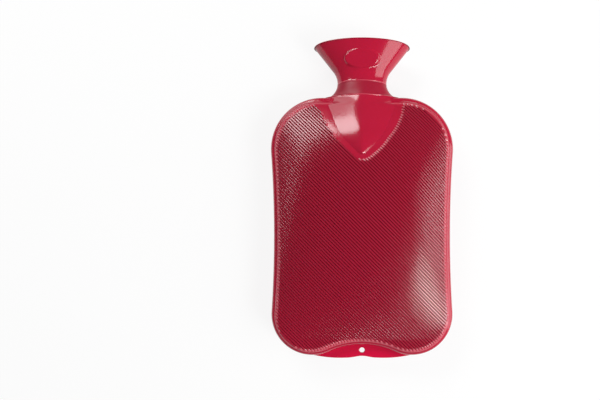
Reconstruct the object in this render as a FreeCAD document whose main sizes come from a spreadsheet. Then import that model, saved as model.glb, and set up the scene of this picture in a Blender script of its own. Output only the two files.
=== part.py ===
# Ribbed hot water bottle of soft moulded plastic, lying on its back: the neck points to +Y,
# the ribbed front faces up, and the origin is under the middle of the whole bottle.
import FreeCAD
import Part
import math
import os
import Sketcher
from FreeCAD import Placement, Rotation, Vector

doc = FreeCAD.newDocument("HotWaterBottle")

# Driving dimensions in millimetres. Heights along the bottle are measured from the lowest point
# of its hanging flange up to the rim, and depths from the parting plane between front and back.
SIZES = [
    ("rim_height", 345.2, "whole length, from the flange's lobes to the rim"),
    ("neck_length", 57.8, "rim above the body's straight top edge"),
    ("shoulder_width", 200.2, "across the shoulders"),
    ("shoulder_radius", 56.4, "round of each shoulder"),
    ("foot_width", 199.0, "across the lower corners"),
    ("foot_radius", 45.0, "round of each lower corner"),
    ("foot_rise", 5.0, "lower corners above the flange's lobes"),
    ("waist_radius", 1300.0, "hollow curve of each long side"),
    ("arch_radius", 87.3, "hollow curve of the lower edge"),
    ("wall", 2.0, "wall of the body"),
    ("parting_height", 26.3, "parting plane above the resting face"),
    ("roll_radius", 9.5, "rolled edge round front and back"),
    ("edge_depth", 14.5, "front and back field edge from the parting plane"),
    ("front_crown", 37.0, "middle of the front from the parting plane"),
    ("back_crown", 27.6, "middle of the back before its resting face is flattened"),
    ("fullness_across", 0.4, "how square the crown is across the bottle"),
    ("fullness_along", 0.3, "how square the crown is along the bottle"),
    ("crown_shift", 0.25, "how far the crown leans towards the neck"),
    ("rib_pitch", 5.4, "rib to rib across the ribs"),
    ("rib_gap", 2.2, "groove between two ribs"),
    ("rib_height", 0.9, "ribs above their grooves"),
    ("rib_seat", 0.2, "grooves above the smooth front"),
    ("rib_margin", 1.0, "ribs inside the field's edge"),
    ("rib_angle", 45.0, "ribs fall to the right at this angle"),
    ("notch_length", 71.4, "smooth field under the neck, from the body's top edge to its tip"),
    ("notch_radius", 22.0, "round of that tip"),
    ("notch_slope", 58.0, "slope of that field's two sides"),
    ("tongue_length", 67.4, "neck's tongue, from the body's top edge to its tip"),
    ("tongue_width", 66.4, "tongue at its widest on the front"),
    ("tongue_rise", 5.0, "tongue above the front field at its widest"),
    ("neck_rise", 17.4, "narrowest place of the neck above the body's top edge"),
    ("neck_width", 54.6, "neck across"),
    ("neck_depth", 35.0, "neck front to back"),
    ("rim_width", 106.4, "funnel rim across"),
    ("rim_depth", 52.0, "funnel rim front to back"),
    ("funnel_curve", 22.0, "curve from the neck into the funnel"),
    ("shoulder_curve", 16.8, "curve from the neck into the shoulders"),
    ("funnel_wall", 2.2, "wall of the funnel"),
    ("belt_rise_low", 0.4, "lower line of the neck's belt above the body's top edge"),
    ("belt_width", 15.6, "lower to upper line of the belt"),
    ("belt_relief", 0.5, "belt lines above the neck"),
    ("belt_line", 1.1, "width of a belt line"),
    ("belt_front", 42.0, "length of the lower line, across the neck's front only"),
    ("pad_drop", 19.7, "middle of the oval pad below the rim"),
    ("pad_width", 38.0, "oval pad across"),
    ("pad_length", 19.0, "oval pad along the funnel"),
    ("pad_rise", 0.7, "oval pad above the funnel"),
    ("flange_thickness", 3.0, "hanging flange"),
    ("lobe_radius", 135.5, "curve of the flange's two lobes"),
    ("lobe_spread", 50.0, "from lobe to lobe"),
    ("hole_height", 8.7, "middle of the hanging hole"),
    ("hole_radius", 2.9, "hanging hole"),
    ("insert_radius", 15.0, "threaded neck insert outside"),
    ("collar_radius", 16.2, "collar that holds the insert in the neck"),
    ("collar_length", 4.0, "that collar along the neck"),
    ("bore_radius", 11.3, "insert's bore at the thread crests"),
    ("throat_radius", 12.5, "throat between insert and body"),
    ("throat_length", 24.0, "throat below the insert"),
    ("thread_clearance", 0.4, "between the stopper's shank and the bore"),
    ("shank_length", 16.0, "stopper's shank below its sealing washer"),
    ("shank_chamfer", 1.2, "lead-in at the shank's tip"),
    ("washer_radius", 14.0, "sealing washer outside"),
    ("washer_thickness", 2.5, "sealing washer"),
    ("washer_clearance", 0.3, "between the washer and the shank"),
    ("seat_gap", 0.1, "between seat, washer and stopper"),
    ("cap_radius", 14.5, "stopper's round flange"),
    ("cap_thickness", 3.0, "that flange"),
    ("grip_width", 35.0, "stopper's wing grip across its top"),
    ("grip_foot", 25.0, "wing grip across its foot"),
    ("grip_height", 22.0, "wing grip above the flange"),
    ("grip_thickness", 6.0, "wing grip front to back"),
    ("grip_round", 5.0, "round of the grip's top corners"),
    ("grip_edge", 1.2, "bevel of the grip's long edges"),
]

# Heights that follow from the driving ones
LEVELS = [
    ("body_top", "=rim_height - neck_length", "body's straight top edge"),
    ("neck_height", "=rim_height - neck_length + neck_rise", "narrowest place of the neck"),
    ("belt_low", "=rim_height - neck_length + belt_rise_low", "lower belt line"),
    ("belt_high", "=rim_height - neck_length + belt_rise_low + belt_width", "upper belt line"),
    ("pad_height", "=rim_height - pad_drop", "middle of the oval pad"),
    ("notch_tip", "=rim_height - neck_length - notch_length", "tip of the smooth field"),
    ("tongue_tip", "=rim_height - neck_length - tongue_length", "tip of the tongue"),
]

sheet = doc.addObject("Spreadsheet::Sheet", "Sizes")
for row, (alias, value, meaning) in enumerate(SIZES + LEVELS, start=1):
    sheet.set(f"A{row}", meaning)
    sheet.set(f"B{row}", str(value))
    sheet.setAlias(f"B{row}", alias)
doc.recompute()


def size(alias):
    return float(sheet.get(alias))


LEVEL = size("parting_height")
HALF_LENGTH = size("rim_height") / 2
ABOVE = LEVEL + size("front_crown") + 2 * size("rib_height")
BELOW = -2 * size("wall")


# The body's outline in plan
def place(point, level=0.0):
    """A point (across, height along the bottle) in the part's own frame."""
    return Vector(point[0], point[1] - HALF_LENGTH, level)


def mirrored(point):
    return (-point[0], point[1])


def meeting(first, first_radius, second, second_radius):
    """The right-hand point where two circles meet."""
    span_x = second[0] - first[0]
    span_y = second[1] - first[1]
    span = math.hypot(span_x, span_y)
    along = (first_radius ** 2 - second_radius ** 2 + span ** 2) / (2 * span)
    aside = math.sqrt(first_radius ** 2 - along ** 2)
    return (
        first[0] + (along * span_x + aside * span_y) / span,
        first[1] + (along * span_y - aside * span_x) / span,
    )


def towards(centre, radius, target):
    """The point of a circle that faces the target."""
    span = math.hypot(target[0] - centre[0], target[1] - centre[1])
    return (
        centre[0] + radius * (target[0] - centre[0]) / span,
        centre[1] + radius * (target[1] - centre[1]) / span,
    )


def arc(centre, radius, start, end):
    middle = towards(centre, radius, ((start[0] + end[0]) / 2, (start[1] + end[1]) / 2))
    return Part.Arc(place(start), place(middle), place(end)).toShape()


def line(start, end):
    return Part.LineSegment(place(start), place(end)).toShape()


SHOULDER = (
    size("shoulder_width") / 2 - size("shoulder_radius"),
    size("body_top") - size("shoulder_radius"),
)
FOOT = (size("foot_width") / 2 - size("foot_radius"), size("foot_rise") + size("foot_radius"))
WAIST = meeting(
    FOOT, size("waist_radius") + size("foot_radius"),
    SHOULDER, size("waist_radius") + size("shoulder_radius"),
)
ARCH = (0.0, FOOT[1] - math.sqrt((size("arch_radius") + size("foot_radius")) ** 2 - FOOT[0] ** 2))
ARCH_TOP = ARCH[1] + size("arch_radius")


def outline(inset=0.0):
    """Closed outline of the body, moved inwards: shoulders, waists, lower corners and lower arch."""
    shoulder = size("shoulder_radius") - inset
    waist = size("waist_radius") + inset
    foot = size("foot_radius") - inset
    arch = size("arch_radius") + inset
    top = (SHOULDER[0], SHOULDER[1] + shoulder)
    high = towards(SHOULDER, shoulder, WAIST)
    low = towards(FOOT, foot, WAIST)
    base = towards(FOOT, foot, ARCH)
    return Part.Wire([
        arc(SHOULDER, shoulder, top, high),
        arc(WAIST, waist, high, low),
        arc(FOOT, foot, low, base),
        arc(ARCH, arch, base, mirrored(base)),
        arc(mirrored(FOOT), foot, mirrored(base), mirrored(low)),
        arc(mirrored(WAIST), waist, mirrored(low), mirrored(high)),
        arc(mirrored(SHOULDER), shoulder, mirrored(high), mirrored(top)),
        line(mirrored(top), top),
    ])


def prism(wire, bottom, top):
    """The closed wire carried straight up from one level to another."""
    face = Part.Face(wire)
    face.translate(Vector(0, 0, bottom))
    return face.extrude(Vector(0, 0, top - bottom))


# The crowned front and back fields. Their surfaces reach a little past the field's edge, where the
# outline cuts them.
FIELD_WIDTH = size("shoulder_width") - 2 * size("roll_radius")
FIELD_LOW = ARCH_TOP + size("roll_radius")
FIELD_HIGH = size("body_top") - size("roll_radius")
FIELD_MIDDLE = (FIELD_LOW + FIELD_HIGH) / 2
FIELD_LENGTH = FIELD_HIGH - FIELD_LOW
OVERHANG = 1.03


def crown_across(share):
    """Height share of the crown from side (-1) to side (1)."""
    return (1 - share ** 2) * (1 + size("fullness_across") * share ** 2)


def crown_along(share):
    """Height share of the crown from the lower edge (-1) to the upper edge (1)."""
    lean = size("crown_shift") * share
    return (1 - share ** 2) * (1 + lean + size("fullness_along") * share ** 2)


def crown_depth(across, height, edge, crown):
    """Depth of a crowned field from the parting plane at one point of its plan."""
    share_across = 2 * across / FIELD_WIDTH
    share_along = 2 * (height - FIELD_MIDDLE) / FIELD_LENGTH
    return edge + (crown - edge) * crown_across(share_across) * crown_along(share_along)


def bezier_heights(profile):
    """Poles of the one curve of the fourth degree that follows a height profile exactly."""
    steps = [0.0, 0.25, 0.5, 0.75, 1.0]
    samples = [[Vector(step, profile(OVERHANG * (2 * step - 1)), 0)] for step in steps]
    curve = Part.BezierCurve()
    curve.interpolate(samples, steps)
    return [pole.y for pole in curve.getPoles()]


def crowned_block(edge, crown, lift, side):
    """All that lies inside one crowned field; side is 1 for the front and -1 for the back."""
    across = bezier_heights(crown_across)
    along = bezier_heights(crown_along)
    surface = Part.BezierSurface()
    surface.increase(4, 4)
    for i, height_across in enumerate(across):
        for j, height_along in enumerate(along):
            depth = edge + lift + (crown - edge) * height_across * height_along
            point = (
                OVERHANG * FIELD_WIDTH * (i / 4 - 0.5),
                FIELD_MIDDLE + OVERHANG * FIELD_LENGTH * (j / 4 - 0.5),
            )
            surface.setPole(i + 1, j + 1, place(point, LEVEL + side * depth))
    return surface.toShape().extrude(Vector(0, 0, -side * (edge + crown)))


def level_edges(shape):
    """Edges that lie level, all round the top and bottom of a prism."""
    return [edge for edge in shape.Edges if edge.BoundBox.ZLength < 1e-6]


def crowned_fields():
    """Crowned front and back inside the rolled edge, and the flat face that the back rests on."""
    edge = size("edge_depth")
    field = outline(size("roll_radius"))
    front = prism(field, LEVEL, ABOVE).common(crowned_block(edge, size("front_crown"), 0.0, 1))
    back = prism(field, 0.0, LEVEL).common(crowned_block(edge, size("back_crown"), 0.0, -1))
    return [front, back]


def rolled_slab(inset, bevels):
    """Slab of the body's outline, its edges turned by one flat bevel or by three."""
    depth = size("edge_depth") - inset
    radius = size("roll_radius") - inset
    slab = prism(outline(inset), LEVEL - depth, LEVEL + depth)
    slab = slab.makeChamfer(radius * (2 - math.sqrt(2)), level_edges(slab))
    if bevels == 1:
        return slab
    narrow = radius * (math.tan(math.pi / 8) - math.tan(math.pi / 16))
    return slab.makeChamfer(narrow, level_edges(slab))


def pillow():
    """Outside of the body without its neck."""
    return rolled_slab(0.0, 3).fuse(crowned_fields())


HOLLOW_FACETS = (8, 10)


def faceted_field(crown, side):
    """Hollow under one crowned field, of flat facets one wall inside the crown."""
    wall = size("wall")
    columns, rows = HOLLOW_FACETS

    def corner(column, row):
        point = (
            OVERHANG * FIELD_WIDTH * (column / columns - 0.5),
            FIELD_MIDDLE + OVERHANG * FIELD_LENGTH * (row / rows - 0.5),
        )
        return place(point, LEVEL + side * (crown_depth(*point, size("edge_depth"), crown) - wall))

    def facet(points):
        return Part.Face(Part.makePolygon(points + points[:1]))

    faces = []
    for column in range(columns):
        for row in range(rows):
            near, right = corner(column, row), corner(column + 1, row)
            above, far = corner(column, row + 1), corner(column + 1, row + 1)
            faces += [facet([near, right, far]), facet([near, far, above])]
    edges = [
        [corner(column, 0) for column in range(columns + 1)],
        [corner(columns, row) for row in range(rows + 1)],
        [corner(columns - column, rows) for column in range(columns + 1)],
        [corner(0, rows - row) for row in range(rows + 1)],
    ]
    floor = []
    for points in edges:
        start = Vector(points[0].x, points[0].y, LEVEL)
        end = Vector(points[-1].x, points[-1].y, LEVEL)
        faces.append(facet(points + [end, start]))
        floor.append(start)
    faces.append(facet(floor))
    shell = Part.Shell(faces)
    shell.sewShape()
    return Part.Solid(shell)


def chamber():
    """Hollow of the body, one wall inside it, with flat bevels where the outside is rolled."""
    wall = size("wall")
    field = outline(size("roll_radius") + wall)
    front = prism(field, LEVEL, ABOVE).common(faceted_field(size("front_crown"), 1))
    back = prism(field, wall, LEVEL).common(faceted_field(size("back_crown"), -1))
    return rolled_slab(wall, 1).fuse([front, back])


# The diagonal ribs of the front
def wedge(tip, radius, slope, top):
    """Plan of a downward pointing wedge with a rounded tip, up to the given height."""
    lean = math.radians(slope)
    centre = (0.0, tip + radius)
    foot = (radius * math.sin(lean), tip + radius * (1 - math.cos(lean)))
    head = (foot[0] + (top - foot[1]) / math.tan(lean), top)
    return Part.Wire([
        arc(centre, radius, mirrored(foot), foot),
        line(foot, head),
        line(head, mirrored(head)),
        line(mirrored(head), mirrored(foot)),
    ])


GROOVE_FACETS = 10


def groove(offset):
    """One groove tool: its floor follows the front's crown in flat facets, its sides stand straight."""
    lean = math.radians(size("rib_angle"))
    along = (math.cos(lean), -math.sin(lean))
    across = (math.sin(lean), math.cos(lean))
    half_width = OVERHANG * FIELD_WIDTH / 2
    half_length = OVERHANG * FIELD_LENGTH / 2
    start_x, start_y = offset * across[0], offset * across[1]
    first = max((-half_width - start_x) / along[0], (start_y - half_length) / -along[1])
    last = min((half_width - start_x) / along[0], (start_y + half_length) / -along[1])
    if last - first < size("rib_pitch"):
        return None
    floor = []
    for step in range(GROOVE_FACETS + 1):
        run = first + (last - first) * step / GROOVE_FACETS
        point = (start_x + run * along[0], FIELD_MIDDLE + start_y + run * along[1])
        depth = crown_depth(*point, size("edge_depth"), size("front_crown"))
        floor.append(place(point, LEVEL + depth + 2 * size("rib_seat")))
    high_start = Vector(floor[0].x, floor[0].y, ABOVE)
    high_end = Vector(floor[-1].x, floor[-1].y, ABOVE)
    side = Part.Face(Part.makePolygon(floor + [high_end, high_start, floor[0]]))
    sideways = Vector(across[0], across[1], 0) * size("rib_gap")
    side.translate(sideways * -0.5)
    return side.extrude(sideways)


def ribbed_field():
    """Front field that carries the ribs: a crowned slab with one groove beside each rib."""
    plan = prism(outline(size("roll_radius") + size("rib_margin")), LEVEL, ABOVE)
    smooth = wedge(size("notch_tip"), size("notch_radius"), size("notch_slope"), size("body_top"))
    plan = plan.cut(prism(smooth, BELOW, 2 * ABOVE))
    lift = size("rib_seat") + size("rib_height")
    top = crowned_block(size("edge_depth"), size("front_crown"), lift, 1)
    slab = plan.common(top)
    reach = (FIELD_WIDTH + FIELD_LENGTH) / 2 / math.sqrt(2)
    count = int(reach / size("rib_pitch"))
    grooves = [groove(step * size("rib_pitch")) for step in range(-count, count + 1)]
    return slab.cut([tool for tool in grooves if tool])


# The neck with its funnel, and the tongue that joins it to the front
def neck_half_width(height):
    """Half width of neck and funnel: a straight cone, then a curve each side of the narrowest place."""
    narrow = size("neck_width") / 2
    rise = height - size("neck_height")
    if rise < 0:
        curve = size("shoulder_curve")
        return narrow + curve - math.sqrt(max(curve ** 2 - rise ** 2, 0.0))
    curve = size("funnel_curve")
    rim = size("rim_height") - size("neck_height")
    short = curve - (size("rim_width") / 2 - narrow)
    lean = math.asin(curve / math.hypot(rim, short)) - math.atan2(short, rim)
    if rise < curve * math.sin(lean):
        return narrow + curve - math.sqrt(curve ** 2 - rise ** 2)
    return size("rim_width") / 2 - (rim - rise) * math.tan(lean)


DEPTH_FLARE = 0.06


def neck_half_depth(height):
    """Half depth of neck and funnel, which grows with the width from neck to rim."""
    narrow = size("neck_depth") / 2
    spread = (size("rim_depth") - size("neck_depth")) / (size("rim_width") - size("neck_width"))
    rise = height - size("neck_height")
    if rise < 0:
        return narrow - DEPTH_FLARE * rise
    return narrow + spread * (neck_half_width(height) - size("neck_width") / 2)


def oval(height, half_width, half_depth):
    """Upright oval across the neck's axis."""
    centre = Vector(0, height - HALF_LENGTH, LEVEL)
    wide = centre + Vector(half_width, 0, 0)
    deep = centre + Vector(0, 0, half_depth)
    return Part.Wire([Part.Ellipse(wide, deep, centre).toShape()])


def neck_oval(height, grow):
    """Oval of the neck's own form at one height, grown or shrunk all round."""
    return oval(height, neck_half_width(height) + grow, neck_half_depth(height) + grow)


def neck_loft(grow, heights):
    """Loft through ovals of the neck's own form."""
    return Part.makeLoft([neck_oval(height, grow) for height in heights], True, True)


def heights_between(low, high, count):
    return [low + (high - low) * step / (count - 1) for step in range(count)]


# The neck's flare stops just before its curve lies level on the body
FLARE_SHARE = 0.95

# Share of its length down the body, of the flare's width and of its depth
ROOT_OVALS = [(0.0, 1.0, 1.0), (0.3, 0.9, 1.0), (0.6, 0.5, 0.8)]

# Share of the tongue's length above its tip, of its width, and of its rise over the front
TONGUE_OVALS = [
    (0.84, 1.08, 1.30), (0.66, 1.00, 0.97), (0.48, 0.88, 0.90), (0.30, 0.63, 0.72), (0.11, 0.29, 0.34),
]
# Its ovals are never narrower than deep
TONGUE_ASPECT = 1.02


def neck_foot():
    """Height at which the neck's flare meets the body."""
    return size("neck_height") - FLARE_SHARE * size("shoulder_curve")


def neck_root():
    """Plain root of the neck inside the body, where its ovals sink into front and back."""
    low = neck_foot()
    width, depth, length = neck_half_width(low), neck_half_depth(low), size("tongue_length")
    return Part.makeLoft([
        oval(low - down * length, wide * width, deep * depth) for down, wide, deep in ROOT_OVALS
    ], True, False)


def tongue():
    """Front of the tube that runs on from the neck and climbs the crown as a pointed tongue."""
    edge, crown = size("edge_depth"), size("front_crown")
    tip, length = size("tongue_tip"), size("tongue_length")
    ovals = [neck_oval(neck_foot(), 0.0)]
    for share, spread, rise in TONGUE_OVALS:
        height = tip + share * length
        half_width = spread * size("tongue_width") / 2
        top = crown_depth(0.0, height, edge, crown) + rise * size("tongue_rise")
        beside = crown_depth(half_width, height, edge, crown)
        reach = half_width / math.sqrt(1 - (beside / top) ** 2)
        ovals.append(oval(height, max(reach, TONGUE_ASPECT * top), top))
    top = crown_depth(0.0, tip, edge, crown)
    ovals.append(oval(tip, TONGUE_ASPECT * top, top))
    return Part.makeLoft(ovals, True, False).common(neck_front(2 * size("tongue_width")))


def belt_line_ring(height):
    half_width = neck_half_width(height) + size("belt_relief")
    half_depth = neck_half_depth(height) + size("belt_relief")
    disc = Part.Face(oval(height - size("belt_line") / 2, half_width, half_depth))
    return disc.extrude(Vector(0, size("belt_line"), 0))


def neck_front(width):
    """All that lies in front of the parting plane, the given width across."""
    return Part.makeBox(
        width, size("rim_height"), ABOVE - LEVEL, place((-width / 2, 0), LEVEL),
    )


def oval_pad():
    """Low plain oval pad on the funnel's front."""
    centre = place((0, size("pad_height")))
    plan = Part.Ellipse(
        centre + Vector(size("pad_width") / 2, 0, 0),
        centre + Vector(0, size("pad_length") / 2, 0),
        centre,
    ).toShape()
    low = size("pad_height") - size("pad_length")
    high = min(size("pad_height") + size("pad_length"), size("rim_height"))
    skin = neck_loft(size("pad_rise"), heights_between(low, high, 5))
    return prism(Part.Wire([plan]), LEVEL, ABOVE).common(skin)


# The hanging flange under the body
def flange_plate():
    lobe = (size("lobe_spread") / 2, size("lobe_radius"))
    reach = FOOT[0] + size("foot_radius") / 3
    end = (reach, lobe[1] - math.sqrt(lobe[1] ** 2 - (reach - lobe[0]) ** 2))
    dip = (0.0, lobe[1] - math.sqrt(lobe[1] ** 2 - lobe[0] ** 2))
    root = (reach, ARCH_TOP + size("wall"))
    plan = Part.Wire([
        arc(mirrored(lobe), lobe[1], mirrored(end), dip),
        arc(lobe, lobe[1], dip, end),
        line(end, root),
        line(root, mirrored(root)),
        line(mirrored(root), mirrored(end)),
    ])
    half = size("flange_thickness") / 2
    plate = prism(plan, LEVEL - half, LEVEL + half)
    plate = plate.cut(prism(outline(size("wall") / 2), BELOW, ABOVE))
    hole = Part.makeCylinder(
        size("hole_radius"), 2 * size("flange_thickness"),
        place((0, size("hole_height")), LEVEL - size("flange_thickness")),
    )
    return plate.cut(hole)


def plug(radius, low, high):
    """Round rod on the neck's axis between two heights."""
    return Part.makeCylinder(
        radius, high - low, Vector(0, low - HALF_LENGTH, LEVEL), Vector(0, 1, 0),
    )


def collar_low():
    return (size("belt_low") + size("belt_high") - size("collar_length")) / 2


FUNNEL_FACETS = 48


def faceted(wire):
    """Closed curve as a polygon, for the funnel's inside."""
    points = wire.discretize(FUNNEL_FACETS + 1)
    return Part.makePolygon(points)


def bottle_shape():
    """The whole moulding: outside first, then the chamber, the insert's seat and the funnel."""
    rim, narrow, pad_top = size("rim_height"), size("neck_height"), size("pad_height") + 1
    flare = heights_between(neck_foot(), narrow, 5)
    cone = heights_between(narrow + size("neck_rise") / 3, pad_top, 3) + [rim]
    outside = pillow().fuse([
        neck_loft(0.0, flare + cone),
        neck_root(),
        tongue(),
        belt_line_ring(size("belt_low")).common(neck_front(size("belt_front"))),
        belt_line_ring(size("belt_high")),
        oval_pad(),
    ])
    outside = outside.fuse(flange_plate())
    outside = outside.fuse(ribbed_field())
    seat = plug(size("insert_radius"), size("belt_low"), size("belt_high") + 1)
    seat = seat.fuse(plug(size("collar_radius"), collar_low(), collar_low() + size("collar_length")))
    throat = plug(
        size("throat_radius"), size("belt_low") - size("throat_length"), size("belt_low") + 1,
    )
    funnel = Part.makeLoft([
        faceted(neck_oval(height, -size("funnel_wall")))
        for height in heights_between(size("belt_high"), size("pad_height"), 3)
        + [rim + size("funnel_wall")]
    ], True, True)
    return outside.cut([chamber(), throat, seat, funnel])


bottle = doc.addObject("Part::Feature", "bottle")
bottle.Label = "bottle"
bottle.Shape = bottle_shape()
bottle.Placement = Placement(Vector(0, 0, 0), Rotation())


# Turned pieces on the neck's axis, each drawn from its own lower end at height 0
def profile_sketch(body, name, corners):
    """Closed sketch; the corners list (across, height) as pairs of value and expression."""
    plane = next(item for item in body.Origin.OriginFeatures if item.Role == "XY_Plane")
    sketch = body.newObject("Sketcher::SketchObject", name)
    sketch.AttachmentSupport = (plane, [""])
    sketch.MapMode = "FlatFace"
    points = [Vector(across[0], height[0], 0) for across, height in corners]
    count = len(points)
    for index, point in enumerate(points):
        sketch.addGeometry(Part.LineSegment(point, points[(index + 1) % count]), False)
    for index in range(count):
        sketch.addConstraint(Sketcher.Constraint("Coincident", index, 2, (index + 1) % count, 1))
    for index, (across, height) in enumerate(corners):
        for kind, (value, expression) in (("DistanceX", across), ("DistanceY", height)):
            which = sketch.addConstraint(Sketcher.Constraint(kind, -1, 1, index, 1, value))
            sketch.setExpression(f"Constraints[{which}]", expression)
    sketch.Visibility = False
    return sketch


def turned_body(name, profile):
    """Revolved body; the profile lists its corners as (radius, height)."""
    body = doc.addObject("PartDesign::Body", name)
    body.Label = name
    sketch = profile_sketch(body, name + "_profile", profile)
    turn = body.newObject("PartDesign::Revolution", name + "_turned")
    turn.Profile = sketch
    turn.ReferenceAxis = (sketch, ["V_Axis"])
    turn.Angle = 360
    body.Tip = turn
    return body


def on_axis(body, expression):
    """Puts a turned body on the neck's axis with its lower end at the given height."""
    body.setExpression(".Placement.Base.y", f"{expression} - Sizes.rim_height / 2")
    body.setExpression(".Placement.Base.z", "Sizes.parting_height")


def cell(alias, factor=1):
    """Value and expression of one cell, for a corner of a profile."""
    return (factor * size(alias), f"{factor} * Sizes.{alias}")


def both(first, second, sign=1):
    """Sum or difference of two values with their expressions."""
    mark = "+" if sign > 0 else "-"
    return (first[0] + sign * second[0], f"({first[1]} {mark} ({second[1]}))")


NOTHING = (0.0, "0")

insert_length = both(cell("belt_high"), cell("belt_low"), -1)
collar_base = (collar_low() - size("belt_low"),
               "(Sizes.belt_high - Sizes.belt_low - Sizes.collar_length) / 2")
collar_end = both(collar_base, cell("collar_length"))
neck_insert = turned_body("neck_insert", [
    (cell("bore_radius"), NOTHING),
    (cell("insert_radius"), NOTHING),
    (cell("insert_radius"), collar_base),
    (cell("collar_radius"), collar_base),
    (cell("collar_radius"), collar_end),
    (cell("insert_radius"), collar_end),
    (cell("insert_radius"), insert_length),
    (cell("bore_radius"), insert_length),
])
on_axis(neck_insert, "Sizes.belt_low")

shank_radius = both(cell("bore_radius"), cell("thread_clearance"), -1)
washer_bore = both(shank_radius, cell("washer_clearance"))
sealing_washer = turned_body("sealing_washer", [
    (washer_bore, NOTHING),
    (cell("washer_radius"), NOTHING),
    (cell("washer_radius"), cell("washer_thickness")),
    (washer_bore, cell("washer_thickness")),
])
on_axis(sealing_washer, "Sizes.belt_high + Sizes.seat_gap")

shank_top = both(both(cell("shank_length"), cell("washer_thickness")), cell("seat_gap", 2))
cap_top = both(shank_top, cell("cap_thickness"))
tip_radius = both(shank_radius, cell("shank_chamfer"), -1)
stopper = turned_body("stopper", [
    (NOTHING, NOTHING),
    (tip_radius, NOTHING),
    (shank_radius, cell("shank_chamfer")),
    (shank_radius, shank_top),
    (cell("cap_radius"), shank_top),
    (cell("cap_radius"), cap_top),
    (NOTHING, cap_top),
])
on_axis(stopper, "Sizes.belt_high - Sizes.shank_length")
doc.recompute()


# The stopper's flat wing grip, wider at its top, with round corners and bevelled edges
grip_top = both(cap_top, cell("grip_height"))
grip_base = both(cap_top, cell("grip_edge"), -1)
grip = stopper.newObject("PartDesign::Pad", "grip")
grip.Profile = profile_sketch(stopper, "grip_outline", [
    (cell("grip_foot", -0.5), grip_base),
    (cell("grip_foot", 0.5), grip_base),
    (cell("grip_width", 0.5), grip_top),
    (cell("grip_width", -0.5), grip_top),
])
grip.Length = size("grip_thickness")
grip.setExpression("Length", "Sizes.grip_thickness")
grip.Midplane = True
stopper.Tip = grip
doc.recompute()


def eased(body, kind, name, driver, alias, chosen):
    """Fillet or chamfer of the chosen edges of the body's last feature."""
    base = body.Tip
    names = [f"Edge{i}" for i, edge in enumerate(base.Shape.Edges, start=1) if chosen(edge.BoundBox)]
    feature = body.newObject(kind, name)
    feature.Base = (base, names)
    setattr(feature, driver, size(alias))
    feature.setExpression(driver, f"Sizes.{alias}")
    body.Tip = feature
    doc.recompute()


TINY = 0.01


def top_corner(box):
    """Short edges through the grip's thickness at its top corners."""
    return box.YMin > grip_top[0] - TINY and box.XLength < TINY


def face_edge(box):
    """Edges round the grip's two flat faces, above the stopper's flange."""
    flat = box.ZLength < TINY and abs(abs(box.ZMin) - size("grip_thickness") / 2) < TINY
    return flat and box.YMax > cap_top[0] + TINY


eased(stopper, "PartDesign::Fillet", "grip_corners", "Radius", "grip_round", top_corner)
eased(stopper, "PartDesign::Chamfer", "grip_bevel", "Size", "grip_edge", face_edge)

for piece in doc.Objects:
    if "Invalid" in piece.State or "Error" in piece.State:
        raise RuntimeError(f"{piece.Name} failed: {piece.State}")

os.makedirs("parts", exist_ok=True)
for piece in (bottle, neck_insert, sealing_washer, stopper):
    if piece.Shape.isNull() or not piece.Shape.isValid():
        raise RuntimeError(f"{piece.Label} has no valid shape")
    piece.Shape.exportStep(f"parts/{piece.Label}.step")
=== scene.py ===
import math

import bpy
import numpy as np
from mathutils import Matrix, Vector


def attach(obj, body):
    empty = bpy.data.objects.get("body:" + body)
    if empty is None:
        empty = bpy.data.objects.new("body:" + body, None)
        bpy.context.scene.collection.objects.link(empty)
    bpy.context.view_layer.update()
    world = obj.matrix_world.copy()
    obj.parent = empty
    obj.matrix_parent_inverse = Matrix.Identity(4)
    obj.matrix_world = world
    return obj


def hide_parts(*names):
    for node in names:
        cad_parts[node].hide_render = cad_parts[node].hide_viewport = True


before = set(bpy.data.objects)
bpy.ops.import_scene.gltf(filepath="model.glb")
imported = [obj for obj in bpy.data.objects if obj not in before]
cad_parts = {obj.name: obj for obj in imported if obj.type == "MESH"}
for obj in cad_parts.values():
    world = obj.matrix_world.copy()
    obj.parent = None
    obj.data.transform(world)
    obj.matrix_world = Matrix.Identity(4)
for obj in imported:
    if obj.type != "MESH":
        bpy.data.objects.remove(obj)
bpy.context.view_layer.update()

# The body's outline in plan, set by the mould. Round shoulders, slightly hollow sides, round lower
# corners and a hollow lower edge, all arcs in millimetres; heights run up from the hanging flange.
WHOLE_LENGTH = 345.2
PARTING_LEVEL = 26.3
BODY_WIDTH = 200.2
BODY_TOP = 287.4
SHOULDER_RADIUS = 56.4
SHOULDER = (43.7, BODY_TOP - SHOULDER_RADIUS)
FOOT_RADIUS = 45.0
FOOT = (54.5, 50.0)
WAIST_RADIUS = 1300.0
ARCH_RADIUS = 87.3
TOP_POINTS = 16
SHOULDER_POINTS = 54
WAIST_POINTS = 50
FOOT_POINTS = 56
ARCH_POINTS = 28
FULL_TURN = 2 * math.pi


def meeting(first, first_radius, second, second_radius):
    """The right-hand point where two circles meet."""
    span_x, span_y = second[0] - first[0], second[1] - first[1]
    span = math.hypot(span_x, span_y)
    along = (first_radius ** 2 - second_radius ** 2 + span ** 2) / (2 * span)
    aside = math.sqrt(first_radius ** 2 - along ** 2)
    return (
        first[0] + (along * span_x + aside * span_y) / span,
        first[1] + (along * span_y - aside * span_x) / span,
    )


WAIST = meeting(FOOT, WAIST_RADIUS + FOOT_RADIUS, SHOULDER, WAIST_RADIUS + SHOULDER_RADIUS)
ARCH = (0.0, FOOT[1] - math.sqrt((ARCH_RADIUS + FOOT_RADIUS) ** 2 - FOOT[0] ** 2))
ARCH_TOP = ARCH[1] + ARCH_RADIUS


def arc_points(centre, radius, start, end, count):
    """Points of an arc between two directions, without its last point."""
    angles = start + (end - start) * np.arange(count) / count
    return np.column_stack([centre[0] + radius * np.cos(angles), centre[1] + radius * np.sin(angles)])


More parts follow.
